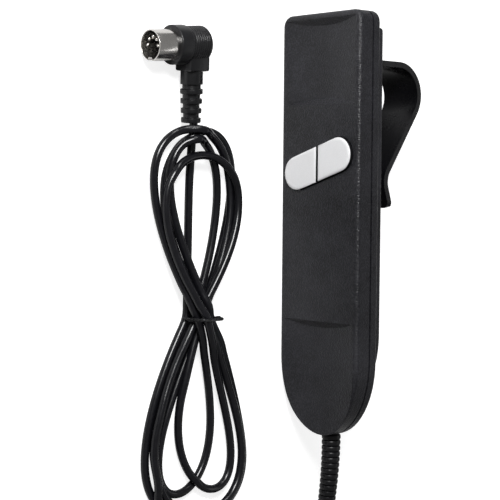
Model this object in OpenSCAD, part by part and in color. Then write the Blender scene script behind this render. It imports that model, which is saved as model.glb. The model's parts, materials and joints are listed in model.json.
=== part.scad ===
// Two-button corded hand control for a power recliner or lift chair.
// The case lies on its left side: its top end points to -X, its face to -Y and its right side up.
// Everything stands on z = 0, and the cord ends in a right-angle five-pin round plug.

/* [Case] */
// Length of the case, from its square top to its rounded end
body_l = 190; // [160:1:230]
// Width of the case across its face
body_w = 49; // [41:0.5:60]
// Depth of the case without its raised back
body_d = 13.6; // [12.4:0.2:16.4]
// Depth of the front shell
front_d = 7.9; // [7.4:0.1:9]
// Wall thickness of both shells
wall = 2; // [1.6:0.1:2.4]
// Radius of the two top corners
corner_r = 5; // [3:0.5:8]
// Length of the rounded lower end
end_l = 35; // [25:1:45]
// Radius along the outer edges
edge_r = 2; // [1:0.2:2.4]
// Width of the groove between the shells
seam_w = 0.9; // [0.5:0.1:1.2]
// Depth of the groove between the shells
seam_deep = 0.9; // [0.5:0.1:1.1]

/* [Raised back] */
// How far the back stands off the rear shell
back_rise = 6.4; // [5:0.2:8]
// Step from the case side to the raised back
back_inset = 4; // [3:0.5:5]
// Step from the case top to the raised back
back_top = 7; // [5:0.5:12]
// Step from the rounded end to the raised back
back_end = 11; // [9:0.5:13]

/* [Face] */
// Depth of the two dished parts of the face
dish_deep = 3; // [2:0.1:3.2]
// Flat land beside the dished parts
dish_land = 2.2; // [1.5:0.1:4]
// Distance of the upper dish's top edge from the case top
dish_top = 2.6; // [2:0.1:6]
// Distance of the upper step from the case top
step_up = 41; // [36:0.5:48]
// Distance of the lower step from the case top
step_low = 138; // [125:0.5:145]

/* [Buttons] */
// Radius of the round ends of the button pair
button_r = 7.6; // [6.5:0.1:8.4]
// Distance from the middle of the pair to each round end's centre
button_c = 13.6; // [11:0.1:16]
// Tilt of the button pair across the face
button_tilt = 17.5; // [0:0.5:25]
// Distance of the button pair's middle from the case top
button_top = 67.5; // [60:0.5:85]
// Height of the caps above the face
button_proud = 1.9; // [1:0.1:2.6]
// Running gap round the caps
button_gap = 0.5; // [0.25:0.05:0.5]
// Gap between the two caps
button_split = 1.4; // [0.9:0.1:2]
// How far a cap can be pressed
button_travel = 1; // [0.6:0.1:1.2]
// Width of the flange that keeps a cap in
button_flange = 0.6; // [0.4:0.05:0.8]

/* [Hook clip] */
// Width of the clip strip
clip_w = 21; // [16:0.5:25]
// Thickness of the clip strip
clip_t = 2.6; // [2:0.1:3.2]
// Distance of the clip's arm from the case top
clip_top = 20; // [17:0.5:24]
// Straight height of the clip's arm
clip_arm = 21.5; // [16:0.5:26]
// Outer radius of the clip's bend
clip_r = 15; // [12:0.5:18]
// Straight length of the clip's leaf
clip_leaf = 32.5; // [24:0.5:36]
// Length of the clip's turned-out tip
clip_tip = 9; // [6:0.5:12]
// Length of the clip's foot on the case
clip_foot = 27; // [24:0.5:32]

/* [Board and switches] */
// Length of the circuit board
board_l = 60; // [54:1:66]
// Width of the circuit board
board_w = 37; // [31:0.5:40]
// Thickness of the circuit board
board_t = 1.6; // [1:0.1:2]
// Depth of the board's front surface below the face
board_deep = 10.4; // [9.8:0.1:11]
// Side of a square switch body
switch_w = 6.4; // [6:0.1:8]
// Height of a switch body
switch_h = 3.5; // [3:0.1:3.6]
// Radius of a switch plunger
plunger_r = 1.7; // [1.2:0.1:1.9]

/* [Screws] */
// Radius of the screw shanks
screw_r = 1.3; // [1:0.05:1.4]
// Radius of the screw heads
head_r = 2.5; // [2.2:0.1:2.8]
// Height of the screw heads
head_h = 1.2; // [1:0.1:1.3]
// Radius of the bosses that take the case screws
boss_r = 3.2; // [3:0.1:3.8]

/* [Cord] */
// Diameter of the cord
cord_d = 3.6; // [3:0.1:4.4]
// Depth of the cord's axis below the face
cord_deep = 9.8; // [9.4:0.1:10.2]
// Diameter of the ribbed sleeve
sleeve_d = 8.7; // [7.5:0.1:9.5]
// Depth of the sleeve's grooves
groove_deep = 0.8; // [0.4:0.1:1.2]
// Distance from ring to ring along the sleeve
ring_pitch = 2.5; // [2:0.1:3.5]

/* [Plug] */
// Outer diameter of the round metal shell
shell_d = 13.2; // [12.8:0.1:13.6]
// Wall of the metal shell
shell_t = 0.5; // [0.3:0.05:0.7]
// Length of the metal shell in front of the collar
shell_l = 11; // [8:0.5:12]
// Diameter of the plug's collar
collar_d = 16.8; // [15.6:0.1:18]
// Length of the plug's collar
collar_l = 6.5; // [4:0.5:8]
// Diameter of the plug's barrel
barrel_d = 15.8; // [15:0.1:17]
// Length of the plug's barrel
barrel_l = 11.5; // [11:0.5:24]
// Diameter of a contact pin
pin_d = 1.45; // [1.2:0.05:1.6]
// Diameter of the circle that the pins stand on
pin_circle = 7; // [6.6:0.1:7.4]
// Diameter of the plug's neck
neck_d = 9.7; // [8.6:0.1:11]
// Number of rings on the plug's strain relief
relief_rings = 4; // [3:1:6]

/* [Hidden] */
$fn = 48;
eps = 0.01;
clear = 0.3;          // gap between parts that only stand beside each other
fit = 0.05;           // gap round a screw in its hole

// Case frame: x runs across the face to the right, y up the case, z out of the face.
mid_x = body_w / 2;
back_d = body_d + back_rise;
back_in = back_d - wall;                      // depth of the raised back's inner surface
clip_reach = back_d + clip_arm + clip_r;      // depth of the clip's outermost point
front_y = (button_proud - clip_reach) / 2;    // place of the face along Y, which centres the part
dish_half = mid_x - dish_land;
dish_r = (dish_half * dish_half + dish_deep * dish_deep) / (2 * dish_deep);
dish_roof = dish_deep + wall + 0.2;           // depth of the inner surface under the dishes
step_up_y = body_l - step_up;
step_low_y = body_l - step_low;
button_y = body_l - button_top;
flange_top = wall + clear;
flange_t = 1.2;
flange_low = flange_top + flange_t;
plunger_top = 5.7;
guide_h = 3;
guide_t = 1.5;
cap_crown = 0.7;
cap_round = 1.6;
switch_top = board_deep - switch_h;
press_at = 0.62 * button_c;                   // where a cap presses its switch, along the pair
board_y = button_y - 34;                      // lower edge of the board
board_back = board_deep + board_t;
post_r = 2.6;
board_fit_w = min(board_w, body_w - 2 * (back_inset + wall)); // the board has to go into the raised back
post_x = board_fit_w / 2 - 4;
post_low_y = board_y + 4;
post_up_y = board_y + board_l - 4;
clamp_y = 25;
clamp_x = 8.5;
clamp_t = 1.5;
jacket_end = 33;
header_y = board_y + 4;
boss_x = mid_x - back_inset - wall - boss_r + 0.8;
case_screw_y = [step_up_y + 16, step_low_y - 9];
boss_meet = body_d - wall - 0.4;              // depth where the front and rear bosses meet
case_head_in = 2;                             // how deep a case screw's head is sunk
clip_screw_y = [body_l - clip_top - 11, body_l - clip_top - 21];
cord_r = cord_d / 2;
cord_y = front_y + cord_deep;

module in_case() {
    multmatrix([[0, -1, 0, body_l / 2], [0, 0, -1, front_y], [1, 0, 0, 0], [0, 0, 0, 1]]) children();
}

// Outline of the case, square at the top and half an ellipse at the lower end, all set in by `in`.
function case_outline(in = 0, top = 0, low = 0) =
    let (a = mid_x - in, b = end_l - in, r = max(corner_r - in, 1), t = body_l - in - top)
    concat(
        [for (k = [0:6:180]) [mid_x - a * cos(k), end_l + low - b * sin(k)]],
        [for (k = [0:18:90]) [mid_x + a - r + r * cos(k), t - r + r * sin(k)]],
        [for (k = [90:18:180]) [mid_x - a + r + r * cos(k), t - r + r * sin(k)]]);

module prism(z0, z1, in, top = 0, low = 0) {
    translate([0, 0, z0]) linear_extrude(z1 - z0) polygon(case_outline(in, top, low));
}

// A closed skin through a list of rings that all have the same number of points.
module loft(rings) {
    m = len(rings);
    n = len(rings[0]);
    polyhedron(
        points = [for (ring = rings) each ring],
        faces = concat(
            [[for (k = [0:n - 1]) k]],
            [for (i = [0:m - 2], k = [0:n - 1]) each [
                [i * n + k, (i + 1) * n + k, i * n + (k + 1) % n],
                [i * n + (k + 1) % n, (i + 1) * n + k, (i + 1) * n + (k + 1) % n]]],
            [[for (k = [n - 1:-1:0]) (m - 1) * n + k]]));
}

function lift(outline, z) = [for (p = outline) [p[0], p[1], z]];

// A block with the case outline whose outer edge is rounded: towards the face,
// or with back = true the other way.
module rounded_block(z0, z1, r, in = 0, top = 0, low = 0, back = false) {
    turns = [for (k = [0:22.5:90]) [r * (1 - cos(k)), r * (1 - sin(k))]];
    if (back) loft(concat(
        [for (i = [4:-1:0]) lift(case_outline(in + turns[i][0], top, low), z0 + turns[i][1])],
        [lift(case_outline(in, top, low), z1)]));
    else loft(concat(
        [lift(case_outline(in, top, low), z0)],
        [for (i = [0:4]) lift(case_outline(in + turns[i][0], top, low), z1 - turns[i][1])]));
}

// Trims a cutter to a band of the face with 45 degree end walls.
module face_band(y0, y1, h) {
    multmatrix([[0, 0, 1, 0], [1, 0, 0, 0], [0, 1, 0, 0], [0, 0, 0, 1]])
        linear_extrude(body_w) polygon([[y0 + h, -h], [y1 - h, -h], [y1 + h, h], [y0 - h, h]]);
}

module dish(y0, y1) {
    intersection() {
        translate([mid_x, -1, dish_r - dish_deep]) rotate([-90, 0, 0])
            cylinder(r = dish_r, h = body_l + 2, $fn = 180);
        face_band(y0, y1, dish_deep + 1);
    }
}

// Outline of the button pair at radius r.
module pair_outline(r) {
    translate([mid_x, button_y]) rotate(button_tilt) {
        for (s = [-1, 1]) translate([s * button_c, 0]) circle(r);
        translate([-button_c, -r]) square([2 * button_c, 2 * r]);
    }
}

// Outline of one cap of radius r, cut along the case's length at `split` from the middle;
// side is -1 for left and 1 for right.
function cap_outline(side, r, split = button_split / 2) =
    let (t = button_tilt,
        cut = [for (e = [1, -1]) let (s = (side * split + e * r * sin(t)) / cos(t))
            [s * cos(t) - e * r * sin(t), s * sin(t) + e * r * cos(t)]],
        round_end = [for (k = [-90:10:90]) let (a = t + (side > 0 ? k : k + 180))
            [side * button_c * cos(t) + r * cos(a), side * button_c * sin(t) + r * sin(a)]],
        loop = concat(side > 0 ? [cut[0], cut[1]] : [cut[1], cut[0]], round_end))
    [for (p = loop) [mid_x + p[0], button_y + p[1]]];

function press_point(side) =
    [mid_x + side * press_at * cos(button_tilt), button_y + side * press_at * sin(button_tilt)];

module case_bosses(z0, z1, r) {
    for (y = case_screw_y, s = [-1, 1])
        translate([mid_x + s * boss_x, y, -z1]) cylinder(r = r, h = z1 - z0);
}

// Bore of the cord sleeve through the rounded end.
module sleeve_bore(r, y0, y1) {
    translate([mid_x, y0, -cord_deep]) rotate([-90, 0, 0]) cylinder(r = r, h = y1 - y0);
}

sleeve_r = sleeve_d / 2;
neck_r = sleeve_r - groove_deep - 0.2;
anchor_r = neck_r + 1.2;
collar_room = anchor_r + clear;

module front_shell() {
    color([0.13, 0.13, 0.14]) in_case() {
        difference() {
            rounded_block(-front_d, 0, edge_r);
            prism(-front_d - 1, -dish_roof, wall);
            face_pocket();
            dish(step_up_y, body_l - dish_top);
            dish(-3 * dish_deep, step_low_y);
            translate([0, 0, -wall - 1]) linear_extrude(wall + 2) pair_outline(button_r + button_gap);
            sleeve_bore(neck_r + fit, -1, wall + 2);
            sleeve_bore(collar_room, wall + fit, wall + 4);
        }
        difference() {
            case_bosses(dish_roof - eps, boss_meet, boss_r);
            case_bosses(dish_roof + 1, boss_meet + 1, screw_r + fit);
        }
    }
}

// Room behind the flat middle of the face.
module face_pocket() {
    translate([wall, step_low_y + 2, -dish_roof - 1])
        cube([body_w - 2 * wall, step_up_y - step_low_y - 4, dish_roof + 1 - wall]);
}

module rear_shell() {
    color([0.11, 0.11, 0.12]) in_case() {
        difference() {
            union() {
                rounded_block(-body_d, -front_d - seam_w, edge_r, back = true);
                prism(-front_d - seam_w - eps, -front_d, seam_deep);
                rounded_block(-back_d, -body_d + edge_r, edge_r, back_inset,
                    back_top - back_inset, back_end, true);
                entry_boss();
            }
            prism(-body_d + wall, 1, wall);
            prism(-back_in, -body_d + wall + 1, back_inset + wall, back_top - back_inset, back_end);
            sleeve_bore(neck_r + fit, -1, wall + 4);
            sleeve_bore(collar_room, wall + fit, back_end + wall + 5.5);
            case_bosses(boss_meet, back_d + 1, screw_r + 0.2);
            case_bosses(back_d - case_head_in, back_d + 1, head_r + 0.2);
            clip_bores(screw_r + fit);
        }
        rear_posts();
    }
}

// Swelling over the cord where it enters the case.
module entry_boss() {
    intersection() {
        translate([mid_x, 0, -cord_deep]) rotate([-90, 0, 0])
            cylinder(r = neck_r + 2.6, h = back_end + wall + 3);
        prism(-back_d, -body_d + 1, 0.6);
    }
}

module clip_bores(r) {
    for (y = clip_screw_y) translate([mid_x, y, -back_d - 1]) cylinder(r = r, h = 5 + 1);
}

module rear_posts() {
    difference() {
        case_bosses(boss_meet, back_in + eps, boss_r);
        case_bosses(boss_meet - 1, back_d + 1, screw_r + 0.2);
        case_bosses(back_d - case_head_in, back_d + 1, head_r + 0.2);
    }
    for (y = [post_low_y, post_up_y], s = [-1, 1]) difference() {
        translate([mid_x + s * post_x, y, -back_in - eps])
            cylinder(r = post_r, h = back_in - board_back + eps);
        translate([mid_x + s * post_x, y, -board_back - 5]) cylinder(r = screw_r + fit, h = 6);
    }
    for (s = [-1, 1]) difference() {
        translate([mid_x + s * clamp_x, clamp_y, -back_in - eps])
            cylinder(r = post_r, h = back_in - cord_deep + cord_r + eps);
        translate([mid_x + s * clamp_x, clamp_y, -cord_deep - 5]) cylinder(r = screw_r + fit, h = 8);
    }
    translate([mid_x - 4, clamp_y - 2.5, -back_in - eps]) cube([8, 5, back_in - cord_deep - cord_r + eps]);
    for (y = clip_screw_y) difference() {
        translate([mid_x, y, -back_in - eps]) cylinder(r = post_r + 0.4, h = 3 + eps);
        translate([mid_x, y, -back_in - 1]) cylinder(r = screw_r + fit, h = 3 - 1 + 1);
    }
}

// A cap: straight sides, a crowned top, a flange under the face and a post to the plunger.
module cap(side) {
    post = press_point(side);
    in_case() {
        loft(concat(
            [lift(cap_outline(side, button_r), -flange_top - eps)],
            [for (k = [0:22.5:90]) let (in = cap_round * (1 - cos(k)))
                lift(cap_outline(side, button_r - in, button_split / 2 + in),
                    button_proud - cap_crown * (1 - sin(k)))]));
        translate([0, 0, -flange_low]) linear_extrude(flange_t) intersection() {
            polygon(cap_outline(side, button_r + button_flange));
            polygon(case_outline(wall + clear));
        }
        translate([post[0], post[1], -plunger_top]) cylinder(r = 2, h = plunger_top - flange_low + eps);
    }
}

module button_left() {
    color([0.84, 0.85, 0.84]) cap(-1);
}

module button_right() {
    color([0.84, 0.85, 0.84]) cap(1);
}

// Rails behind the face, above and below the pair, that keep the two flanges in line.
module button_guide() {
    inner_r = button_r + button_flange + clear;
    color([0.2, 0.2, 0.21]) in_case() translate([0, 0, -wall - guide_h])
    linear_extrude(guide_h) intersection() {
        difference() {
            pair_outline(inner_r + guide_t);
            pair_outline(inner_r);
        }
        polygon(case_outline(wall + 2));
    }
}

module plunger(side) {
    in_case() translate([press_point(side)[0], press_point(side)[1], -switch_top - 0.7])
        cylinder(r = plunger_r, h = switch_top + 0.7 - plunger_top);
}

module plunger_left() {
    color([0.85, 0.2, 0.15]) plunger(-1);
}

module plunger_right() {
    color([0.85, 0.2, 0.15]) plunger(1);
}

// Frames and rings for a tube of radius r along a list of points.
function unit(v) = v / norm(v);
function along(p, i) = unit(p[min(i + 1, len(p) - 1)] - p[max(i - 1, 0)]);
function ring(p, i, r, n) =
    let (t = along(p, i), s = unit(cross(t, [0.001, 0.002, 1])), u = cross(s, t))
    [for (k = [0:n - 1]) p[i] + r * (cos(360 * k / n) * s + sin(360 * k / n) * u)];

module tube(p, r, n) {
    loft([for (i = [0:len(p) - 1]) ring(p, i, r, n)]);
}

spring_wire = 0.22;
spring_r = 2.6;
spring_turns = 4;
spring_low = -switch_top + spring_wire + 0.02;
spring_top = -flange_low - spring_wire - 0.02;

module spring(side) {
    in_case() translate([press_point(side)[0], press_point(side)[1], 0])
        tube([for (k = [0:15 * spring_turns]) [spring_r * cos(24 * k), spring_r * sin(24 * k),
            spring_low + (spring_top - spring_low) * k / (15 * spring_turns)]], spring_wire, 6);
}

module spring_left() {
    color([0.75, 0.76, 0.78]) spring(-1);
}

module spring_right() {
    color([0.75, 0.76, 0.78]) spring(1);
}

module switch(side) {
    in_case() translate([press_point(side)[0], press_point(side)[1], -board_deep]) difference() {
        translate([-switch_w / 2, -switch_w / 2, 0]) cube([switch_w, switch_w, switch_h]);
        translate([0, 0, 1.2]) cylinder(r = plunger_r + 0.2, h = switch_h);
    }
}

module switch_left() {
    color([0.16, 0.16, 0.17]) switch(-1);
}

module switch_right() {
    color([0.16, 0.16, 0.17]) switch(1);
}

module board_holes(r, h) {
    for (y = [post_low_y, post_up_y], s = [-1, 1])
        translate([mid_x + s * post_x, y, -board_back - 1]) cylinder(r = r, h = h);
}

module circuit_board() {
    color([0.1, 0.36, 0.2]) in_case() difference() {
        translate([mid_x - board_fit_w / 2, board_y, -board_back]) cube([board_fit_w, board_l, board_t]);
        board_holes(screw_r + fit, board_t + 2);
    }
}

module screw(shank) {
    cylinder(r = head_r, h = head_h);
    translate([0, 0, -shank]) cylinder(r = screw_r, h = shank + eps);
}

module board_screws() {
    color([0.72, 0.73, 0.75]) in_case() for (y = [post_low_y, post_up_y], s = [-1, 1])
        translate([mid_x + s * post_x, y, -board_deep]) screw(board_t + 4);
}

module terminal_header() {
    color([0.92, 0.91, 0.86]) in_case() difference() {
        translate([mid_x - 7, header_y - 3, -board_deep]) cube([14, 6, 4.6]);
        for (k = [-2:2]) translate([mid_x + 2.5 * k, header_y - 3.5, -board_deep + 2.3])
            rotate([-90, 0, 0]) cylinder(r = 0.6, h = 3);
    }
}

module board_parts() {
    color([0.1, 0.1, 0.1]) in_case() {
        translate([mid_x - 4, post_up_y - 9, -board_deep]) cube([8, 5, 1.6]);
        for (s = [-1, 1]) translate([mid_x + s * 6, post_low_y + 9, -board_deep + 1])
            rotate([-90, 0, 0]) cylinder(r = 1, h = 5);
    }
}

// A straight round rod from p to q.
module rod(p, q, r) {
    d = q - p;
    translate(p) rotate([0, acos(d[2] / norm(d)), atan2(d[1], d[0])])
        cylinder(r = r, h = norm(d), $fn = 24);
}

wire_at = [162, 234, 90, 306, 18];           // places of the wires round the jacket's end

module inner_wires() {
    color([0.7, 0.15, 0.12]) in_case() for (k = [0:4])
        rod([mid_x + 1.1 * cos(wire_at[k]), jacket_end, -cord_deep + 1.1 * sin(wire_at[k])],
            [mid_x + 2.5 * (k - 2), header_y - 3, -board_deep + 2.3], 0.45);
}

module cord_inner() {
    color([0.08, 0.08, 0.08]) in_case() sleeve_bore(cord_r, wall + 3, jacket_end);
}

module cord_clamp() {
    color([0.25, 0.25, 0.26]) in_case() difference() {
        translate([mid_x - clamp_x - 4, clamp_y - 3, -cord_deep + cord_r])
            cube([2 * clamp_x + 8, 6, clamp_t]);
        for (s = [-1, 1])
            translate([mid_x + s * clamp_x, clamp_y, -cord_deep]) cylinder(r = screw_r + fit, h = 6);
    }
}

module clamp_screws() {
    color([0.72, 0.73, 0.75]) in_case() for (s = [-1, 1])
        translate([mid_x + s * clamp_x, clamp_y, -cord_deep + cord_r + clamp_t]) screw(clamp_t + 4);
}

module case_screws() {
    color([0.3, 0.3, 0.32]) in_case() for (y = case_screw_y, s = [-1, 1])
        translate([mid_x + s * boss_x, y, -back_d + case_head_in]) mirror([0, 0, 1])
            screw(back_d - case_head_in - dish_roof - 1.5);
}

// The clip's centre line: each run is its length, its turn and how many pieces it is drawn in.
clip_turn = 124;
clip_flare = 52;
flare_r = 10;
root_r = clip_t / 2 + 1;
clip_runs = [
    [clip_foot - clip_t / 2 - root_r, 0, 1],
    [root_r * PI / 2, -90, 6],
    [clip_arm - clip_t / 2 - root_r, 0, 1],
    [(clip_r - clip_t / 2) * clip_turn * PI / 180, -clip_turn, 20],
    [clip_leaf, 0, 1],
    [flare_r * clip_flare * PI / 180, clip_flare, 10],
    [clip_tip, 0, 1]];
clip_steps = [for (run = clip_runs) each [for (i = [1:run[2]]) [run[0] / run[2], run[1] / run[2]]]];
function clip_walk(i = 0, p = [body_l - clip_top - clip_foot, -back_d - clip_t / 2], a = 0) =
    i >= len(clip_steps) ? [[p, a]] :
    let (h = a + clip_steps[i][1] / 2)
    concat([[p, a]], clip_walk(i + 1, p + clip_steps[i][0] * [cos(h), sin(h)], a + clip_steps[i][1]));
clip_path = clip_walk();
function clip_side(s) = [for (q = clip_path) q[0] + s * clip_t / 2 * [-sin(q[1]), cos(q[1])]];

module clip_profile() {
    left = clip_side(1);
    right = clip_side(-1);
    polygon(concat(left, [for (i = [len(right) - 1:-1:0]) right[i]]));
}

// The strip seen from its back, with the corners of its tip rounded.
module clip_blank() {
    end_y = min([for (q = concat(clip_side(1), clip_side(-1))) q[0]]);
    corner = 3.5;
    translate([mid_x - clip_w / 2 - 1, end_y + corner]) square([clip_w + 2, body_l]);
    translate([mid_x - clip_w / 2 + corner, end_y - 1]) square([clip_w - 2 * corner, corner + 2]);
    for (s = [-1, 1]) translate([mid_x + s * (clip_w / 2 - corner), end_y + corner]) circle(r = corner);
}

module hook_clip() {
    color([0.07, 0.07, 0.07]) in_case() difference() {
        intersection() {
            translate([mid_x - clip_w / 2, 0, 0])
                multmatrix([[0, 0, 1, 0], [1, 0, 0, 0], [0, 1, 0, 0], [0, 0, 0, 1]])
                    linear_extrude(clip_w) clip_profile();
            translate([0, 0, -clip_reach - 1]) linear_extrude(clip_reach) clip_blank();
        }
        for (y = clip_screw_y)
            translate([mid_x, y, -back_d - clip_t - 1]) cylinder(r = screw_r + fit, h = clip_t + 2);
    }
}

module clip_screws() {
    color([0.72, 0.73, 0.75]) in_case() for (y = clip_screw_y)
        translate([mid_x, y, -back_d - clip_t]) mirror([0, 0, 1]) screw(clip_t + 3.5);
}

// Points of the cord from the sleeve's tip to the tied figure of eight, and from there to the plug.
lead_points = [[141, cord_y, 19], [149, -17, 16], [157, -18, 12], [164, -21, 8], [169, -26, 5],
    [172, -33, 3], [173, -41, 2], [172, -50, 2], [169, -59, 2], [164, -68, 2], [158, -76, 2],
    [151, -84, 2], [143, -91, 2], [134, -97, 2], [125, -101, 2], [116, -103, 2]];
tail_points = [[-44, -84, 5], [-41.5, -84, 4.6], [-39, -83.8, 4.2]];
tie_x = 40;
tie_y = -81;
tie_half = 5.5;

// Bend of the sleeve from the rounded end down to the first point of the cord.
sleeve_dx = lead_points[0][0] - body_l / 2;
sleeve_dz = mid_x - lead_points[0][2];
bend_r = (sleeve_dx * sleeve_dx + sleeve_dz * sleeve_dz) / (2 * sleeve_dz);
bend_a = 2 * atan(sleeve_dz / sleeve_dx);
ring_n = floor(bend_r * bend_a * PI / 180 / ring_pitch);

// A length of torus from angle a0 to a1 along the bend.
module bent(r, a0, a1) {
    translate([body_l / 2, cord_y, mid_x - bend_r]) rotate([90, 0, 0]) rotate(90 - a1)
        rotate_extrude(angle = a1 - a0) translate([bend_r, 0]) circle(r);
}

module cord_sleeve() {
    step = bend_a / ring_n;
    color([0.09, 0.09, 0.09]) {
        bent(sleeve_r - groove_deep, 0, bend_a);
        for (k = [0:ring_n - 1])
            bent(sleeve_r - 0.5 * k / ring_n, step * k + 0.2 * step, step * k + 0.8 * step);
        in_case() {
            sleeve_bore(neck_r, -eps, wall + 1);
            sleeve_bore(anchor_r, wall + 0.2, wall + 3);
        }
    }
}

module cord_lead() {
    color([0.08, 0.08, 0.08]) tube(lead_points, cord_r, 8);
}

module cord_tail() {
    color([0.08, 0.08, 0.08]) tube(tail_points, cord_r, 8);
}

// Each lobe is a drop: a round end that narrows to the tie, with an open middle.
upper_c = [-18, -82];
lower_c = [100, -79];
upper_r = 25;
lower_r = 29;
pile_h = 9;
waist_h = 15.2;
tie_wire = 1.1;

module drop(c, r, tip, tip_r) {
    hull() {
        translate(c) circle(r);
        translate(tip) circle(tip_r);
    }
}

module cord_bundle() {
    tie = [tie_x, tie_y];
    color([0.08, 0.08, 0.08]) difference() {
        union() {
            linear_extrude(pile_h) difference() {
                union() {
                    drop(upper_c, upper_r, tie, tie_half);
                    drop(lower_c, lower_r, tie, tie_half);
                }
                drop(upper_c, upper_r - 12, [tie_x - 20, tie_y], 2);
                drop(lower_c + [-4, -1], lower_r - 15, [tie_x + 20, tie_y], 2);
            }
            linear_extrude(4.2)
                translate([upper_c[0] - 14, tie_y - cord_r]) square([tie_x - upper_c[0], cord_d]);
            translate([tie_x - 6, tie_y, 0]) rotate([0, 90, 0]) waist(12);
        }
        translate([tie_x - 1.2, tie_y - 20, -1]) cube([2.4, 40, 2.5]);
    }
}

// The pile of strands under the tie, along X.
module waist(l) {
    linear_extrude(l) translate([-waist_h, 0.3 - tie_half]) square([waist_h, 2 * tie_half - 0.6]);
}

// A wire round the waist, one turn with its two ends twisted out to the side.
module band_outline(grow) {
    low = 0.1 + tie_wire - grow;
    high = waist_h + 0.1 + grow;
    half = tie_half + 0.9 + grow;
    translate([-high, -half]) square([high - low, 2 * half]);
}

module cord_tie() {
    color([0.06, 0.06, 0.06]) {
        translate([tie_x - tie_wire / 2, tie_y, 0]) rotate([0, 90, 0]) linear_extrude(tie_wire) difference() {
            band_outline(tie_wire);
            band_outline(0);
        }
        translate([tie_x, tie_y - tie_half - 0.9 - tie_wire / 2, waist_h - 3]) rotate([90, 0, 0])
            cylinder(r = 0.5, h = 3.2, $fn = 24);
    }
}

// Plug frame: the metal shell points to -y and the cord leaves to +x; the plug lies on its collar.
plug_at = [-77.5, -88];
plug_yaw = 5;
collar_r = collar_d / 2;
barrel_r = barrel_d / 2;
collar_y = -5.3;
block_x = 11.3;
block_w = 10.5;
block_h = 11;
neck_l = 5.6;
ring_step = 4.1;
relief_x = block_x + neck_l;
relief_l = relief_rings * ring_step;
relief_r = 4.9;
relief_taper = 0.2;
ring_gap = 2;
last_ring_r = relief_r - relief_taper * (relief_rings - 1);
plug_pitch = asin((collar_r - last_ring_r) / (relief_x + relief_l));
shell_r = shell_d / 2;
shell_in = shell_r - shell_t;
shell_step = 0.25;                            // the shell is this much narrower inside the collar
insert_face = 3;

module in_plug() {
    translate([plug_at[0], plug_at[1], collar_r]) rotate([0, plug_pitch, plug_yaw]) children();
}

// A cylinder of radius r along y from y0 to y1.
module along_y(r, y0, y1) {
    translate([0, y0, 0]) rotate([-90, 0, 0]) cylinder(r = r, h = y1 - y0);
}

module plug_body() {
    color([0.1, 0.1, 0.11]) in_plug() {
        along_y(barrel_r, collar_y, collar_y + barrel_l - 1.5);
        translate([0, collar_y + barrel_l - 1.5, 0]) rotate([-90, 0, 0])
            cylinder(r1 = barrel_r, r2 = barrel_r - 1.2, h = 1.5);
        translate([0, collar_y + 0.4, -block_h / 2]) cube([block_x, block_w, block_h]);
        translate([block_x - eps, 0, 0]) rotate([0, 90, 0]) cylinder(r = neck_d / 2, h = neck_l + eps);
    }
}

module plug_collar() {
    color([0.09, 0.09, 0.09]) in_plug() difference() {
        along_y(collar_r, collar_y - collar_l, collar_y);
        along_y(shell_r - shell_step + fit, collar_y - collar_l - 1, collar_y + 1);
    }
}

// The key groove faces the cord side.
module plug_shell() {
    color([0.75, 0.74, 0.7]) in_plug() difference() {
        union() {
            along_y(shell_r, collar_y - collar_l - shell_l, collar_y - collar_l);
            along_y(shell_r - shell_step, collar_y - collar_l - eps, collar_y);
        }
        along_y(shell_in, collar_y - collar_l - shell_l - 1, collar_y + 1);
        translate([shell_r - 1.2, collar_y - collar_l - shell_l - 1, -1.4]) cube([2, 6, 2.8]);
    }
}

function pin_place(k) = pin_circle / 2 * [-sin(45 * k), cos(45 * k)];

module plug_insert() {
    color([0.05, 0.05, 0.05]) in_plug() difference() {
        along_y(shell_in - fit, collar_y - collar_l - insert_face, collar_y);
        for (k = [0:4]) translate([pin_place(k)[0], 0, pin_place(k)[1]])
            along_y(pin_d / 2 + fit, collar_y - collar_l - insert_face - 1, collar_y - 1);
    }
}

module plug_pins() {
    color([0.8, 0.76, 0.6]) in_plug() for (k = [0:4]) translate([pin_place(k)[0], 0, pin_place(k)[1]]) {
        along_y(pin_d / 2, collar_y - collar_l - shell_l + 1.6, collar_y - 1);
        translate([0, collar_y - collar_l - shell_l + 1.6, 0]) sphere(r = pin_d / 2, $fn = 32);
    }
}

module plug_relief() {
    groove = 0.9;
    color([0.09, 0.09, 0.09]) in_plug() translate([relief_x, 0, 0]) rotate([0, 90, 0]) rotate_extrude()
        polygon(concat([[0, 0]], [for (k = [0:relief_rings - 1])
            let (r = relief_r - relief_taper * k, x = ring_step * k)
            each [[r - groove, x], [r - groove, x + ring_gap], [r - 0.2, x + ring_gap],
                [r, x + ring_gap + 0.3], [r, x + ring_step - 0.3],
                [r - 0.2, x + ring_step]]], [[0, relief_l]]));
}

front_shell();
rear_shell();
button_left();
button_right();
button_guide();
plunger_left();
plunger_right();
spring_left();
spring_right();
switch_left();
switch_right();
circuit_board();
board_screws();
terminal_header();
board_parts();
inner_wires();
cord_inner();
cord_clamp();
clamp_screws();
case_screws();
hook_clip();
clip_screws();
cord_sleeve();
cord_lead();
cord_bundle();
cord_tail();
cord_tie();
plug_body();
plug_collar();
plug_shell();
plug_insert();
plug_pins();
plug_relief();
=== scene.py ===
import json
import math

import bmesh
import bpy
import numpy as np
from mathutils import Matrix, Vector

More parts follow.
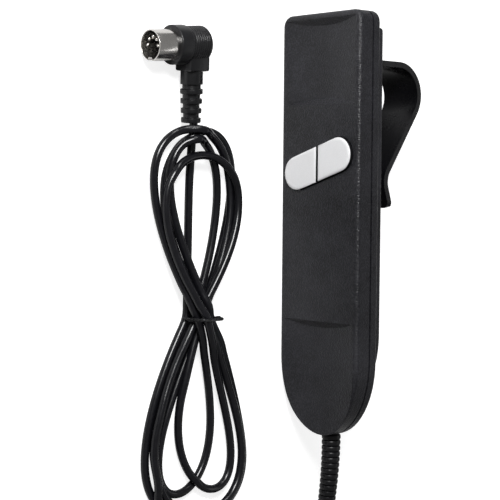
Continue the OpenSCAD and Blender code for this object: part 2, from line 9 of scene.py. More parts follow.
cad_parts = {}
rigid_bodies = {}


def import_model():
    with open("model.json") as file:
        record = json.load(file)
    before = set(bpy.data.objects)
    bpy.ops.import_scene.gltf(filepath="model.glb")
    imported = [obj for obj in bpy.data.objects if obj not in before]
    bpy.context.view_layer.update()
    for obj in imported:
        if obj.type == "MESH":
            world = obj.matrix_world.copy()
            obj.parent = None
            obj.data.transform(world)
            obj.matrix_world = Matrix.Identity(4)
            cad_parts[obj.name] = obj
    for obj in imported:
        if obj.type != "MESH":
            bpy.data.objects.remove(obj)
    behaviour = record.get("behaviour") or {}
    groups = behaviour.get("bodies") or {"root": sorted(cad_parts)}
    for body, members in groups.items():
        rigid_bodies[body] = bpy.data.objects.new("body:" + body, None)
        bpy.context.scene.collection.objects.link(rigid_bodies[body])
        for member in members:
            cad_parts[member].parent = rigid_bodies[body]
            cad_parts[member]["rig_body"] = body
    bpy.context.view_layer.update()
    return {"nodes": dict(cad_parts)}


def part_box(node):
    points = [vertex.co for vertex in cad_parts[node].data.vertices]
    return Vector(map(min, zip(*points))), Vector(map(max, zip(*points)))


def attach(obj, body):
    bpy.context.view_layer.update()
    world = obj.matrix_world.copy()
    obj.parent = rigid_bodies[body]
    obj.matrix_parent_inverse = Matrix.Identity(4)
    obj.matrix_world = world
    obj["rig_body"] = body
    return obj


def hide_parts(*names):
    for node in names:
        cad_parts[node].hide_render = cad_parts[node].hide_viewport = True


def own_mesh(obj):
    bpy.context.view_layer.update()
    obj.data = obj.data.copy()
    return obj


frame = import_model()
scene = bpy.context.scene
mm = 0.001
print("frame loaded:", len(frame["nodes"]), "nodes")

camera = {"place": (-18.1, -480.1, 478.6), "aim": (12.8, -27.3, -20.9), "lens": 102.9, "sensor": 36,
          "roll": 0.48}


def makeCamera():
    data = bpy.data.cameras.new("camera")
    data.lens, data.sensor_width = camera["lens"], camera["sensor"]
    data.clip_start, data.clip_end = 0.01, 20
    obj = bpy.data.objects.new("camera", data)
    scene.collection.objects.link(obj)
    place, aim = Vector(camera["place"]) * mm, Vector(camera["aim"]) * mm
    back = (place - aim).normalized()
    side = Vector((-1, 0, 0)).cross(back).normalized()  # the end away from the cord points up
    top = back.cross(side)
    turn = Matrix((side, top, back)).transposed().to_4x4()
    roll = Matrix.Rotation(math.radians(camera["roll"]), 4, "Z")
    obj.matrix_world = Matrix.Translation(place) @ turn @ roll
    scene.camera = obj


makeCamera()

cord = {
    "thick": 3.6,
    "tie": (40, -81),          # where the figure of eight is tied
    "gap": 3.62,               # strands lie this far apart
    "tieSpread": 62,           # strands keep their places in the tie for about this far
    "crossing": 30,            # strands from the left and right cross each other within this of the tie
    "stiff": 7,                # a strand passes over another in a hump about four times as long as this
    "settle": 500,             # steps in which the strands come to rest
    "lastPushes": 8,           # of those, the ones that only lift strands off each other
    "sink": 0.03,              # how far a strand falls in a step
    "steps": 44,               # points on each lobe
    "middle": 40,              # points from the figure of eight to the plug
    "spacing": 1.6,            # between points of the finished route
    # from the sleeve's tip to the figure of eight, and from it to the plug
    "lead": [(141, -17.5, 19), (149, -17, 16), (157, -18, 12), (164, -21, 8), (169, -26, 5),
             (172, -33, 3), (173, -41, 2), (172, -50, 2), (169, -59, 2), (164, -68, 2), (158, -76, 2),
             (151, -84, 2), (143, -91, 2), (134, -97, 2), (125, -101, 2), (116, -103, 2)],
    "tail": [(-39, -83.8, 4.2), (-41.5, -84, 4.6), (-44, -84, 5), (-47, -84.3, 5.2)],
    # each lobe: how far it reaches from the tie, half its width, how far its end leans, its layer
    "upper": [(70.7, 20.7, 0.3, 4), (81.8, 21.2, -5.5, 3), (81.3, 19.0, 4.8, 1), (77.7, 14.5, -4.0, 2)],
    "lower": [(77.0, 14.7, 11.3, 4), (77.0, 14.1, -8.8, 2), (86.5, 24.7, 4.5, 3), (89.0, 28.1, 3.3, 1)],
    "first": (84.0, 24.5, 0.0, 5),
    # places in the tie, across and up, in the order in which the cord passes through it
    "slots": [(-1.81, 1), (-1.81, 3), (1.81, 1), (-3.62, 2), (3.62, 0), (0, 2), (0, 0), (3.62, 2),
              (-3.62, 0)],
    "rows": [1.85, 4.99, 8.61, 11.75],  # height of each place in the tie
    "sides": 16,
}


def smoothStep(x):
    x = min(max(x, 0.0), 1.0)
    return x * x * (3 - 2 * x)


def spline(points, step):  # a smooth curve through the points, with points about a step apart
    p = np.array(points, float)
    ends = np.vstack([2 * p[0] - p[1], p, 2 * p[-1] - p[-2]])
    out = []
    for i in range(1, len(ends) - 2):
        a, b, c, d = ends[i - 1:i + 3]
        n = max(2, int(np.linalg.norm(c - b) / step))
        for k in range(n):
            t = k / n
            out.append(0.5 * (2 * b + (c - a) * t + (2 * a - 5 * b + 4 * c - d) * t ** 2
                              + (3 * b - a - 3 * c + d) * t ** 3))
    out.append(p[-1])
    return np.array(out)


def figureOfEight():  # every point's place on the floor, its layers, and where the cord passes the tie
    tieX, tieY = cord["tie"]
    pts, layer, passes = [], [], []

    def lobe(form, way, start, slotIn, slotOut):
        reach, half, lean, level = form
        for k in range(cord["steps"]):
            a = start + (math.pi - start) * k / cord["steps"]
            near = smoothStep(1 - abs(reach * math.sin(a)) / cord["tieSpread"])
            slot = slotIn if a < math.pi / 2 else slotOut
            x = tieX + way * reach * math.sin(a)
            y = tieY + lean * math.sin(a) ** 2 + half * math.sin(2 * a) + near * slot[0]
            pts.append((x, y))
            layer.append((level, slot[1]))

    slots = cord["slots"]
    lobe(cord["first"], 1, math.pi * 0.69, slots[0], slots[0])  # the lead joins this lobe part way round
    for i in range(4):
        passes.append(len(pts))
        lobe(cord["upper"][i], -1, 0, slots[2 * i], slots[2 * i + 1])
        passes.append(len(pts))
        lobe(cord["lower"][i], 1, 0, slots[2 * i + 1], slots[2 * i + 2])
    passes.append(len(pts))
    return pts, layer, passes


def cordRoute():
    tieX, tieY = cord["tie"]
    pts, layer, passes = figureOfEight()
    lead = spline(cord["lead"], 2.0)
    last = cord["slots"][-1]
    tailX, tailY = cord["tail"][0][:2]
    centre = []
    for k in range(cord["middle"]):
        t = k / cord["middle"]
        y = tieY + last[0] + (tailY - tieY - last[0]) * smoothStep(t)
        centre.append((tieX + (tailX - tieX) * t, y))
    tail = spline(cord["tail"], 2.0)
    xy = np.vstack([lead[:, :2], np.array(pts), np.array(centre), tail[:, :2]])
    order = np.array([(6, 1)] * len(lead) + layer + [(0, 0)] * (len(centre) + len(tail)), float)
    floor = np.full(len(xy), cord["thick"] / 2 + 0.05)
    floor[:len(lead)] = np.maximum(floor[:len(lead)], lead[:, 2])
    floor[-len(tail):] = np.maximum(floor[-len(tail):], tail[:, 2])
    for slot, at in zip(cord["slots"], passes):  # the tie holds each pass at the height of its row
        i = len(lead) + at
        floor[i - 2:i + 3] = np.maximum(floor[i - 2:i + 3], cord["rows"][slot[1]])
    d = np.concatenate([[0], np.cumsum(np.linalg.norm(np.diff(xy, axis=0), axis=1))])
    keep = np.concatenate([[True], np.diff(d) > 1e-6])
    d, xy, order, floor = d[keep], xy[keep], order[keep], floor[keep]
    s = np.linspace(0, d[-1], int(d[-1] / cord["spacing"]))  # even spacing along the whole route
    xy = np.column_stack([np.interp(s, d, xy[:, 0]), np.interp(s, d, xy[:, 1])])
    order = order[np.minimum(np.searchsorted(d, s), len(d) - 1)]
    floor = np.interp(s, d, floor)
    for _ in range(6):
        xy[1:-1] = 0.25 * xy[:-2] + 0.5 * xy[1:-1] + 0.25 * xy[2:]
    return np.column_stack([xy, stacked(xy, order, floor, s[1] - s[0])])


def stacked(xy, order, floor, step):  # heights: strands lie on the floor or on each other, in long low humps
    n = len(xy)
    far = np.linalg.norm(xy[:, None, :] - xy[None, :, :], axis=2)
    i, j = np.nonzero((far < cord["gap"]) & (np.arange(n)[None, :] - np.arange(n)[:, None] > 8))
    rise = np.sqrt(cord["gap"] ** 2 - far[i, j] ** 2)
    crossing = np.abs(xy[i, 0] + xy[j, 0] - 2 * cord["tie"][0]) < 2 * cord["crossing"]
    above = order[i, 0] - order[j, 0] + 10 * crossing * (order[i, 1] - order[j, 1]) > 0
    over, under = np.where(above, i, j), np.where(above, j, i)
    reach = int(3 * cord["stiff"] / step)
    bell = np.exp(-0.5 * (np.arange(-reach, reach + 1) * step / cord["stiff"]) ** 2)
    bell /= bell.sum()
    z = floor.copy()
    for turn in range(cord["settle"]):
        loose = turn < cord["settle"] - cord["lastPushes"]
        if loose:
            even = np.convolve(np.pad(z, reach, mode="edge"), bell, mode="valid")
            z = np.maximum(z + 0.3 * (even - z) - cord["sink"], floor)
        push = np.maximum(z[under] + rise - z[over], 0)
        up, down = np.zeros(n), np.zeros(n)
        np.maximum.at(up, over, push)
        np.maximum.at(down, under, push)
        z = np.maximum(z + up * (0.5 if loose else 1) - down * (0.5 if loose else 0), floor)
    for _ in range(4):
        z[1:-1] = 0.25 * z[:-2] + 0.5 * z[1:-1] + 0.25 * z[2:]
    return z


def settleNormals(mesh, sharpDegrees, flatDegrees=0):
    form = bmesh.new()
    form.from_mesh(mesh)
    bmesh.ops.remove_doubles(form, verts=form.verts, dist=1e-6)
    bmesh.ops.dissolve_degenerate(form, edges=form.edges, dist=1e-7)
    if flatDegrees:
        flat = math.radians(flatDegrees)
        bmesh.ops.dissolve_limit(form, angle_limit=flat, verts=form.verts, edges=form.edges)
    bmesh.ops.recalc_face_normals(form, faces=form.faces)
    limit = math.radians(sharpDegrees)
    for face in form.faces:
        face.smooth = True
    for edge in form.edges:
        edge.smooth = len(edge.link_faces) == 2 and edge.calc_face_angle(0) < limit
    form.to_mesh(mesh)
    form.free()


def ringsToMesh(name, rings, closeEnds=True):
    count = len(rings[0])
    verts = [v for ring in rings for v in ring]
    faces = []
    for i in range(len(rings) - 1):
        for k in range(count):
            n = (k + 1) % count
            faces.append((i * count + k, i * count + n, (i + 1) * count + n, (i + 1) * count + k))
    if closeEnds:
        faces.append(tuple(range(count - 1, -1, -1)))
        faces.append(tuple((len(rings) - 1) * count + k for k in range(count)))
    mesh = bpy.data.meshes.new(name)
    mesh.from_pydata(verts, [], faces)
    settleNormals(mesh, 32)
    return mesh


def tubeMesh(name, points, radius, sides, closed=False):
    count = len(points)
    along = [Vector(p) for p in points]
    across, rings = None, []
    for k in range(count):
        before = along[k - 1] if k or closed else along[0]
        after = along[(k + 1) % count] if k < count - 1 or closed else along[-1]
        ahead = (after - before).normalized()
        if across is None:
            across = ahead.cross(Vector((0.3, 0.2, 1))).normalized()
        across = (across - ahead * across.dot(ahead)).normalized()
        over = ahead.cross(across)
        turns = [2 * math.pi * m / sides for m in range(sides)]
        rings.append([tuple(along[k] + radius * (math.cos(q) * across + math.sin(q) * over)) for q in turns])
    if closed:
        rings.append(rings[0])
    return ringsToMesh(name, rings, closeEnds=not closed)


route = cordRoute() * mm
routePoints = [tuple(float(v) for v in p) for p in route]
cordMesh = tubeMesh("cord_run", routePoints, cord["thick"] / 2 * mm, cord["sides"])
cordPiece = bpy.data.objects.new("cord_run", cordMesh)
scene.collection.objects.link(cordPiece)
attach(cordPiece, "case")
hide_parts("cord_lead", "cord_bundle", "cord_tail")


def makeGroup(name, inputs, outputs):
    tree = bpy.data.node_groups.new(name, "ShaderNodeTree")
    for title, value in inputs.items():
        tree.interface.new_socket(title, in_out="INPUT", socket_type="NodeSocketFloat").default_value = value
    for title in outputs:
        tree.interface.new_socket(title, in_out="OUTPUT", socket_type="NodeSocketFloat")
    return tree, tree.nodes.new("NodeGroupInput"), tree.nodes.new("NodeGroupOutput")


def feed(tree, value, socket):
    if isinstance(value, (int, float)):
        socket.default_value = value
    else:
        tree.links.new(value, socket)


def noiseAt(tree, place, scale, detail):
    node = tree.nodes.new("ShaderNodeTexNoise")
    node.inputs["Detail"].default_value = detail
    tree.links.new(place, node.inputs["Vector"])
    feed(tree, scale, node.inputs["Scale"])
    return node.outputs["Fac"]


def mathAt(tree, operation, a, b):
    node = tree.nodes.new("ShaderNodeMath")
    node.operation = operation
    feed(tree, a, node.inputs[0])
    feed(tree, b, node.inputs[1])
    return node.outputs[0]


def rangeAt(tree, value, low, high, toLow=0.0, toHigh=1.0):
    node = tree.nodes.new("ShaderNodeMapRange")
    for socket, v in zip(node.inputs, (value, low, high, toLow, toHigh)):
        feed(tree, v, socket)
    return node.outputs[0]


def grainGroup():  # the fine pebbled surface of a moulded case
    tree, given, result = makeGroup("mouldGrain", {"Size": 1400.0, "Coarse": 0.35}, ["Height", "Speck"])
    place = tree.nodes.new("ShaderNodeTexCoord").outputs["Object"]
    cells = tree.nodes.new("ShaderNodeTexVoronoi")
    tree.links.new(place, cells.inputs["Vector"])
    tree.links.new(given.outputs["Size"], cells.inputs["Scale"])
    broad = noiseAt(tree, place, mathAt(tree, "MULTIPLY", given.outputs["Size"], 0.45), 3)
    waves = mathAt(tree, "MULTIPLY", broad, given.outputs["Coarse"])
    height = mathAt(tree, "ADD", cells.outputs["Distance"], waves)
    tree.links.new(height, result.inputs["Height"])
    tree.links.new(rangeAt(tree, cells.outputs["Distance"], 0.35, 0.75), result.inputs["Speck"])
    return tree


def wearGroup():  # slow changes of polish, with finer smears inside them
    tree, given, result = makeGroup("handling", {"Size": 30.0, "Low": 0.3, "High": 0.5}, ["Polish", "Smear"])
    place = tree.nodes.new("ShaderNodeTexCoord").outputs["Object"]
    slow = noiseAt(tree, place, given.outputs["Size"], 2)
    fine = noiseAt(tree, place, mathAt(tree, "MULTIPLY", given.outputs["Size"], 9.0), 5)
    both = mathAt(tree, "ADD", mathAt(tree, "MULTIPLY", slow, 0.7), mathAt(tree, "MULTIPLY", fine, 0.3))
    even = rangeAt(tree, both, 0.35, 0.65)
    polish = rangeAt(tree, even, 0.0, 1.0, given.outputs["Low"], given.outputs["High"])
    tree.links.new(polish, result.inputs["Polish"])
    tree.links.new(even, result.inputs["Smear"])
    return tree


effects = {"grain": grainGroup(), "wear": wearGroup()}

finishes = {}


# tone and second are the two colours, polish the lowest and highest roughness, grain its size and coarseness,
# bump its strength and depth, smears the size of the changes of polish
def makeFinish(name, tone, second, polish, grain, bump, metallic=0.0, specular=0.5, coat=0.0, smears=30.0):
    material = bpy.data.materials.new(name)
    material.use_nodes = True
    tree = material.node_tree
    shader = tree.nodes["Principled BSDF"]
    shader.inputs["Metallic"].default_value = metallic
    shader.inputs["Specular IOR Level"].default_value = specular
    if coat:
        shader.inputs["Coat Weight"].default_value = coat
        shader.inputs["Coat Roughness"].default_value = 0.12
    wear = tree.nodes.new("ShaderNodeGroup")
    wear.node_tree = effects["wear"]
    wear.inputs["Size"].default_value = smears
    wear.inputs["Low"].default_value, wear.inputs["High"].default_value = polish
    pebbles = tree.nodes.new("ShaderNodeGroup")
    pebbles.node_tree = effects["grain"]
    pebbles.inputs["Size"].default_value, pebbles.inputs["Coarse"].default_value = grain
    mix = tree.nodes.new("ShaderNodeMix")
    mix.data_type = "RGBA"
    mix.inputs[6].default_value, mix.inputs[7].default_value = (*tone, 1), (*second, 1)
    both = mathAt(tree, "ADD", wear.outputs["Smear"], pebbles.outputs["Speck"])
    share = mathAt(tree, "MULTIPLY", both, 0.5)
    tree.links.new(share, mix.inputs[0])
    tree.links.new(mix.outputs[2], shader.inputs["Base Color"])
    tree.links.new(wear.outputs["Polish"], shader.inputs["Roughness"])
    dent = tree.nodes.new("ShaderNodeBump")
    dent.inputs["Strength"].default_value, dent.inputs["Distance"].default_value = bump
    tree.links.new(pebbles.outputs["Height"], dent.inputs["Height"])
    tree.links.new(dent.outputs["Normal"], shader.inputs["Normal"])
    finishes[name] = material


makeFinish("caseBlack", (0.002, 0.002, 0.003), (0.026, 0.026, 0.031), (0.34, 0.44), (1500, 0.6),
           (0.8, 0.0002), specular=0.34)
makeFinish("clipBlack", (0.002, 0.002, 0.0025), (0.004, 0.004, 0.005), (0.22, 0.32), (2600, 0.3),
           (0.15, 0.00004), specular=0.22)
makeFinish("buttonGrey", (0.66, 0.66, 0.67), (0.71, 0.71, 0.72), (0.34, 0.44), (2200, 0.3), (0.12, 0.00004))
makeFinish("cordBlack", (0.003, 0.003, 0.004), (0.007, 0.007, 0.009), (0.16, 0.26), (900, 0.8),
           (0.12, 0.00006), specular=0.4)
makeFinish("sleeveBlack", (0.004, 0.004, 0.0045), (0.008, 0.008, 0.009), (0.26, 0.38), (1600, 0.4),
           (0.25, 0.00005), specular=0.35)
makeFinish("plugBlack", (0.004, 0.004, 0.0045), (0.009, 0.009, 0.01), (0.24, 0.34), (1900, 0.4),
           (0.22, 0.00005), specular=0.4)
makeFinish("insertBlack", (0.003, 0.003, 0.003), (0.006, 0.006, 0.006), (0.45, 0.6), (1900, 0.3),
           (0.1, 0.00004), specular=0.3)
makeFinish("nickel", (0.80, 0.78, 0.75), (0.68, 0.66, 0.63), (0.16, 0.3), (3200, 0.6),
           (0.06, 0.00002), metallic=1.0, smears=90.0)
makeFinish("pinNickel", (0.86, 0.84, 0.80), (0.74, 0.72, 0.68), (0.14, 0.24), (3200, 0.4),
           (0.04, 0.00001), metallic=1.0, smears=160.0)
makeFinish("screwSteel", (0.46, 0.46, 0.47), (0.30, 0.30, 0.31), (0.26, 0.42), (2400, 0.5),
           (0.12, 0.00003), metallic=1.0, smears=120.0)
makeFinish("skirtBlack", (0.004, 0.004, 0.005), (0.009, 0.009, 0.01), (0.5, 0.6), (2200, 0.3),
           (0.1, 0.00004), specular=0.25)
makeFinish("innerBlack", (0.02, 0.02, 0.021), (0.032, 0.032, 0.034), (0.5, 0.62), (1500, 0.4),
           (0.2, 0.00006))
makeFinish("boardGreen", (0.01, 0.09, 0.03), (0.02, 0.13, 0.05), (0.25, 0.4), (700, 0.6),
           (0.1, 0.00003), coat=0.4)
makeFinish("headerIvory", (0.70, 0.66, 0.54), (0.76, 0.72, 0.60), (0.4, 0.52), (1500, 0.4), (0.12, 0.00004))
makeFinish("wireRed", (0.36, 0.02, 0.015), (0.46, 0.04, 0.03), (0.3, 0.42), (1500, 0.4), (0.1, 0.00003))
print("finishes:", len(finishes))


def dress(obj, finishName):
    obj.data.materials.clear()
    obj.data.materials.append(finishes[finishName])


def place(name, mesh, body, finishName, slotName, stands):
    obj = bpy.data.objects.new(name, mesh)
    scene.collection.objects.link(obj)
    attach(obj, body)
    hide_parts(*stands)
    dress(obj, finishName)
    return obj


def weighted(obj):
    even = obj.modifiers.new("evenShading", "WEIGHTED_NORMAL")
    even.keep_sharp = True
    even.weight = 60


def bevelled(obj, width, segments, degrees):  # rounds the edges that turn by more than the degrees
    edge = obj.modifiers.new("softEdges", "BEVEL")
    edge.width, edge.segments = width, segments
    edge.limit_method, edge.angle_limit = "ANGLE", math.radians(degrees)


def smoothCopy(node, name, finishName, slotName, sharpDegrees):
    source = frame["nodes"][node]
    mesh = source.data.copy()
    if mesh.has_custom_normals:
        mesh.attributes.remove(mesh.attributes["custom_normal"])
    settleNormals(mesh, sharpDegrees, 0.3)
    return place(name, mesh, source["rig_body"], finishName, slotName, [node])


tiny = 0.01  # radius at the end of a closed profile


def turned(name, profile, matrix, count=96):  # turned round the local x axis: profile is (along, radius)
    turns = [2 * math.pi * k / count for k in range(count)]
    rings = []
    for along, radius in profile:
        ring = [Vector((along * mm, radius * mm * math.cos(q), radius * mm * math.sin(q))) for q in turns]
        rings.append([tuple(matrix @ v) for v in ring])
    return ringsToMesh(name, rings)


def rounded(corners, radius, steps=5):  # a profile with its corners rounded: corners are (along, radius)
    out = [corners[0]]
    for before, here, after in zip(corners, corners[1:], corners[2:]):
        b, h, a = Vector(before), Vector(here), Vector(after)
        r = min(radius, 0.45 * (b - h).length, 0.45 * (a - h).length)
        p, q = h + (b - h).normalized() * r, h + (a - h).normalized() * r
        for k in range(steps + 1):
            t = k / steps
            out.append(tuple(p * (1 - t) ** 2 + h * 2 * t * (1 - t) + q * t * t))
    out.append(corners[-1])
    return out


def joined(name, meshes):
    form = bmesh.new()
    for mesh in meshes:
        form.from_mesh(mesh)
    whole = bpy.data.meshes.new(name)
    form.to_mesh(whole)
    form.free()
    return whole


coil = {"wire": 0.22, "turns": 4, "steps": 24, "travel": 1.0}


def makeCoil(side):
    low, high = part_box("spring_" + side)
    wire = coil["wire"] * mm
    radius = (high.x - low.x) / 2 - wire
    count = coil["turns"] * coil["steps"]
    points = []
    for k in range(count + 1):
        a = 2 * math.pi * k / coil["steps"]
        x, z = (low.x + high.x) / 2 + radius * math.cos(a), (low.z + high.z) / 2 + radius * math.sin(a)
        points.append((x, low.y + wire + (high.y - low.y - 2 * wire) * k / count, z))
    name = "coil_" + side
    piece = place(name, tubeMesh(name, points, wire, 10), "case", "screwSteel", "steel", ["spring_" + side])
    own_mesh(piece)


edgeRound = {"case": 0.18, "clip": 0.3}  # how far the edges are rounded off

for node, name in (("front_shell", "case_front"), ("rear_shell", "case_rear")):
    half = smoothCopy(node, name, "caseBlack", "case_black", 30)
    bevelled(half, edgeRound["case"] * mm, 2, 24)
    weighted(half)
for side in ("left", "right"):
    cap = smoothCopy("button_" + side, "cap_" + side, "buttonGrey", "button_grey", 40)
    weighted(cap)
    cap.data.materials.append(finishes["skirtBlack"])
    for face in cap.data.polygons:  # the sides of a cap, below its rounded top edge, are black
        if abs(face.normal.y) < 0.3 or face.normal.y > 0:
            face.material_index = 1
    dress(frame["nodes"]["plunger_" + side], "wireRed")
    makeCoil(side)
    dress(frame["nodes"]["switch_" + side], "innerBlack")
for node, finishName, slotName in [
        ("button_guide", "innerBlack", "inner_plastic"), ("circuit_board", "boardGreen", "board_green"),
        ("board_screws", "screwSteel", "steel"), ("terminal_header", "headerIvory", "header_ivory"),
        ("board_parts", "innerBlack", "inner_plastic"), ("inner_wires", "wireRed", "wire_coat"),
        ("cord_inner", "cordBlack", "cord_black"), ("cord_clamp", "innerBlack", "inner_plastic"),
        ("clamp_screws", "screwSteel", "steel")]:
    dress(frame["nodes"][node], finishName)
print("case and buttons made")

clip = smoothCopy("hook_clip", "clip", "clipBlack", "clip_black", 40)
bevelled(clip, edgeRound["clip"] * mm, 3, 60)
weighted(clip)

screw = {"headR": 2.5, "headH": 1.2, "slotW": 0.42, "slotL": 1.45, "slotDeep": 0.7, "shankR": 1.3,
         "spin": 23}  # spin turns each screw on from the one before, in radians


# a cross-slotted pan head on a plain shank; the head points along the local z axis
def screwMesh(name, matrix, shank):
    r, h, w, l = screw["headR"], screw["headH"], screw["slotW"], screw["slotL"]
    arm = [(w, w), (w, l), (-w, l)]
    cross = [(x, y) for x, y in arm] + [(-y, x) for x, y in arm]
    cross += [(-x, -y) for x, y in arm] + [(y, -x) for x, y in arm]
    form = bmesh.new()

    def ring(points, z):
        return [form.verts.new((x * mm, y * mm, z * mm)) for x, y in points]

    def circle(radius):
        turns = [math.radians(15 * k) for k in range(24)]
        return [(radius * math.cos(q), radius * math.sin(q)) for q in turns]

    def wall(a, b):
        for k in range(len(a)):
            form.faces.new((a[k], a[(k + 1) % len(a)], b[(k + 1) % len(b)], b[k]))

    outline = [(screw["shankR"], -shank), (screw["shankR"], 0), (r, 0), (r, 0.55 * h), (0.94 * r, 0.85 * h),
               (0.8 * r, h)]
    stack = [ring(circle(radius), z) for radius, z in outline]
    form.faces.new(stack[0][::-1])
    for a, b in zip(stack, stack[1:]):
        wall(a, b)
    rim, low = ring(cross, h), ring(cross, h - screw["slotDeep"])
    edges = [form.edges.new((rim[k], rim[(k + 1) % 12])) for k in range(12)]
    top = stack[-1]
    edges += [form.edges.get((top[k], top[(k + 1) % 24])) for k in range(24)]
    bmesh.ops.triangle_fill(form, edges=edges, use_beauty=True)
    wall(rim, low)
    form.faces.new(low)
    form.transform(matrix)
    mesh = bpy.data.meshes.new(name)
    form.to_mesh(mesh)
    form.free()
    settleNormals(mesh, 35)
    return mesh


def screwSet(node, name):  # screws whose heads face +Y, where the node's own solids are
    source = frame["nodes"][node].data
    form = bmesh.new()
    form.from_mesh(source)
    bmesh.ops.remove_doubles(form, verts=form.verts, dist=1e-6)
    seen, meshes = set(), []
    for first in form.verts:
        if first in seen:
            continue
        seen.add(first)
        island, todo = [], [first]
        while todo:
            v = todo.pop()
            island.append(v.co.copy())
            for e in v.link_edges:
                o = e.other_vert(v)
                if o not in seen:
                    seen.add(o)
                    todo.append(o)
        low = Vector([min(c[k] for c in island) for k in range(3)])
        high = Vector([max(c[k] for c in island) for k in range(3)])
        base = Vector(((low.x + high.x) / 2, high.y - screw["headH"] * mm, (low.z + high.z) / 2))
        spin = Matrix.Rotation(screw["spin"] * len(meshes), 4, "Y")
        turn = Matrix.Translation(base) @ spin @ Matrix.Rotation(math.radians(-90), 4, "X")
        meshes.append(screwMesh(name, turn, (base.y - low.y) / mm))
    form.free()
    place(name, joined(name, meshes), "case", "screwSteel", "steel", [node])


screwSet("case_screws", "case_screw_heads")
screwSet("clip_screws", "clip_screw_heads")
print("clip and screws made")

sleeve = {"start": (95, 24.5), "radius": 4.35, "tip": 3.85, "groove": 0.75, "pitch": 2.5, "samples": 8,
          "count": 64, "neck": 3.35, "anchor": 4.55, "anchorEnds": (-4.8, -2.3)}


def makeSleeve():
    start = Vector((sleeve["start"][0], cord["lead"][0][1], sleeve["start"][1]))
    across, drop = cord["lead"][0][0] - start.x, start.z - cord["lead"][0][2]
    bendR = (across ** 2 + drop ** 2) / (2 * drop)
    bendA = 2 * math.atan(drop / across)
    ribs = int(bendR * bendA / sleeve["pitch"])
    rings = []

    def ring(along, radius):
        a = max(along, 0) / bendR
        centre = start + Vector((bendR * math.sin(a) + min(along, 0), 0, bendR * math.cos(a) - bendR))
        out = Vector((math.sin(a), 0, math.cos(a)))
        spread = [2 * math.pi * k / sleeve["count"] for k in range(sleeve["count"])]
        rings.append([tuple((centre + radius * (math.cos(t) * out + math.sin(t) * Vector((0, 1, 0)))) * mm)
                      for t in spread])

    inner, outer = sleeve["anchorEnds"]
    for along, radius in [(inner, sleeve["neck"]), (inner, sleeve["anchor"]), (outer, sleeve["anchor"]),
                          (outer, sleeve["neck"]), (0, sleeve["neck"])]:
        ring(along, radius)
    length = bendR * bendA
    for i in range(ribs):
        full = sleeve["radius"] + (sleeve["tip"] - sleeve["radius"]) * i / ribs
        for k in range(sleeve["samples"] + 1):
            t = k / sleeve["samples"]
            bead = (1 - abs(2 * t - 1) ** 2.6) ** 0.5 if 0 < t < 1 else 0
            ring((i + t) * length / ribs, full - sleeve["groove"] * (1 - bead))
    ring(length, cord["thick"] / 2)
    mesh = ringsToMesh("sleeve", rings)
    print("sleeve made:", ribs, "ribs")
    return place("sleeve", mesh, "case", "sleeveBlack", "cord_black", ["cord_sleeve"])


sleevePiece = makeSleeve()

plugSizes = {
    "at": (-77.5, -88), "yaw": 5,
    "collarR": 8.4, "barrelR": 7.9, "collarY": -5.3, "collarL": 6.5, "barrelL": 11.5,
    "shellR": 6.6, "shellIn": 6.1, "shellL": 11, "insertFace": 3, "pinR": 0.725, "pinCircle": 3.5,
    "blockX": 11.3, "blockW": 10.5, "blockH": 11, "neckR": 4.85, "neckL": 5.6,
    "rings": 4, "ringStep": 4.1, "ringGap": 2.0, "reliefR": 4.9, "taper": 0.2, "groove": 0.9,
    "ribs": 7, "ribDeep": 0.28, "blockRound": 0.9, "keyWide": 1.5, "keyDeep": 1.1, "keyLong": 6,
}


def plugMatrix():
    s = plugSizes
    last = s["reliefR"] - s["taper"] * (s["rings"] - 1)
    pitch = math.asin((s["collarR"] - last) / (s["blockX"] + s["neckL"] + s["rings"] * s["ringStep"]))
    return (Matrix.Translation(Vector((*s["at"], s["collarR"])) * mm)
            @ Matrix.Rotation(math.radians(s["yaw"]), 4, "Z") @ Matrix.Rotation(pitch, 4, "Y"))


def makePlug():
    body = plugMatrix()
    alongY = body @ Matrix.Rotation(math.radians(90), 4, "Z")  # local x runs along the plug's own y
    pieces = [makeCollar(alongY), makeBarrel(body, alongY), makeShell(body, alongY), makeCore(alongY),
              makePins(body), makeRelief(body)]
    print("plug made:", len(pieces), "pieces")
    return pieces


def makeCollar(alongY):
    s = plugSizes
    low, high, inside = s["collarY"] - s["collarL"], s["collarY"] - 0.05, s["shellR"] - 0.2
    profile = rounded([(low, inside), (low, s["collarR"]), (high, s["collarR"]), (high, inside)], 0.5)
    mesh = turned("plug_ring", profile, alongY)
    return place("plug_ring", mesh, "case", "plugBlack", "plug_black", ["plug_collar"])


def makeBarrel(body, alongY):  # with the square block and the neck that leads to the cord
    s = plugSizes
    r, foot, end = s["barrelR"], s["collarY"], s["collarY"] + s["barrelL"]
    outline = [(foot, tiny), (foot, r), (foot + 1.2, r)]
    ribStep = (s["barrelL"] - 3.4) / s["ribs"]
    for k in range(s["ribs"]):  # fine grip ribs round the barrel
        x = foot + 1.2 + k * ribStep
        outline += [(x + 0.1 * ribStep, r - s["ribDeep"]), (x + 0.45 * ribStep, r - s["ribDeep"]),
                    (x + 0.55 * ribStep, r), (x + ribStep, r)]
    outline += [(end - 1.6, r), (end - 0.2, r - 1.1), (end, r - 3), (end, tiny)]
    barrel = turned("barrel", rounded(outline, 0.5, 3), alongY)
    low, high = s["blockX"] - 1, s["blockX"] + s["neckL"]
    profile = rounded([(low, tiny), (low, s["neckR"]), (high, s["neckR"]), (high, tiny)], 0.25)
    neck = turned("neck", profile, body)
    blockY = foot + 0.4
    far = (s["blockX"], blockY + s["blockW"], s["blockH"] / 2)
    block = roundedBlock((0, blockY, -s["blockH"] / 2), far, body)
    mesh = joined("plug_barrel", [barrel, neck, block])
    return place("plug_barrel", mesh, "case", "plugBlack", "plug_black", ["plug_body"])


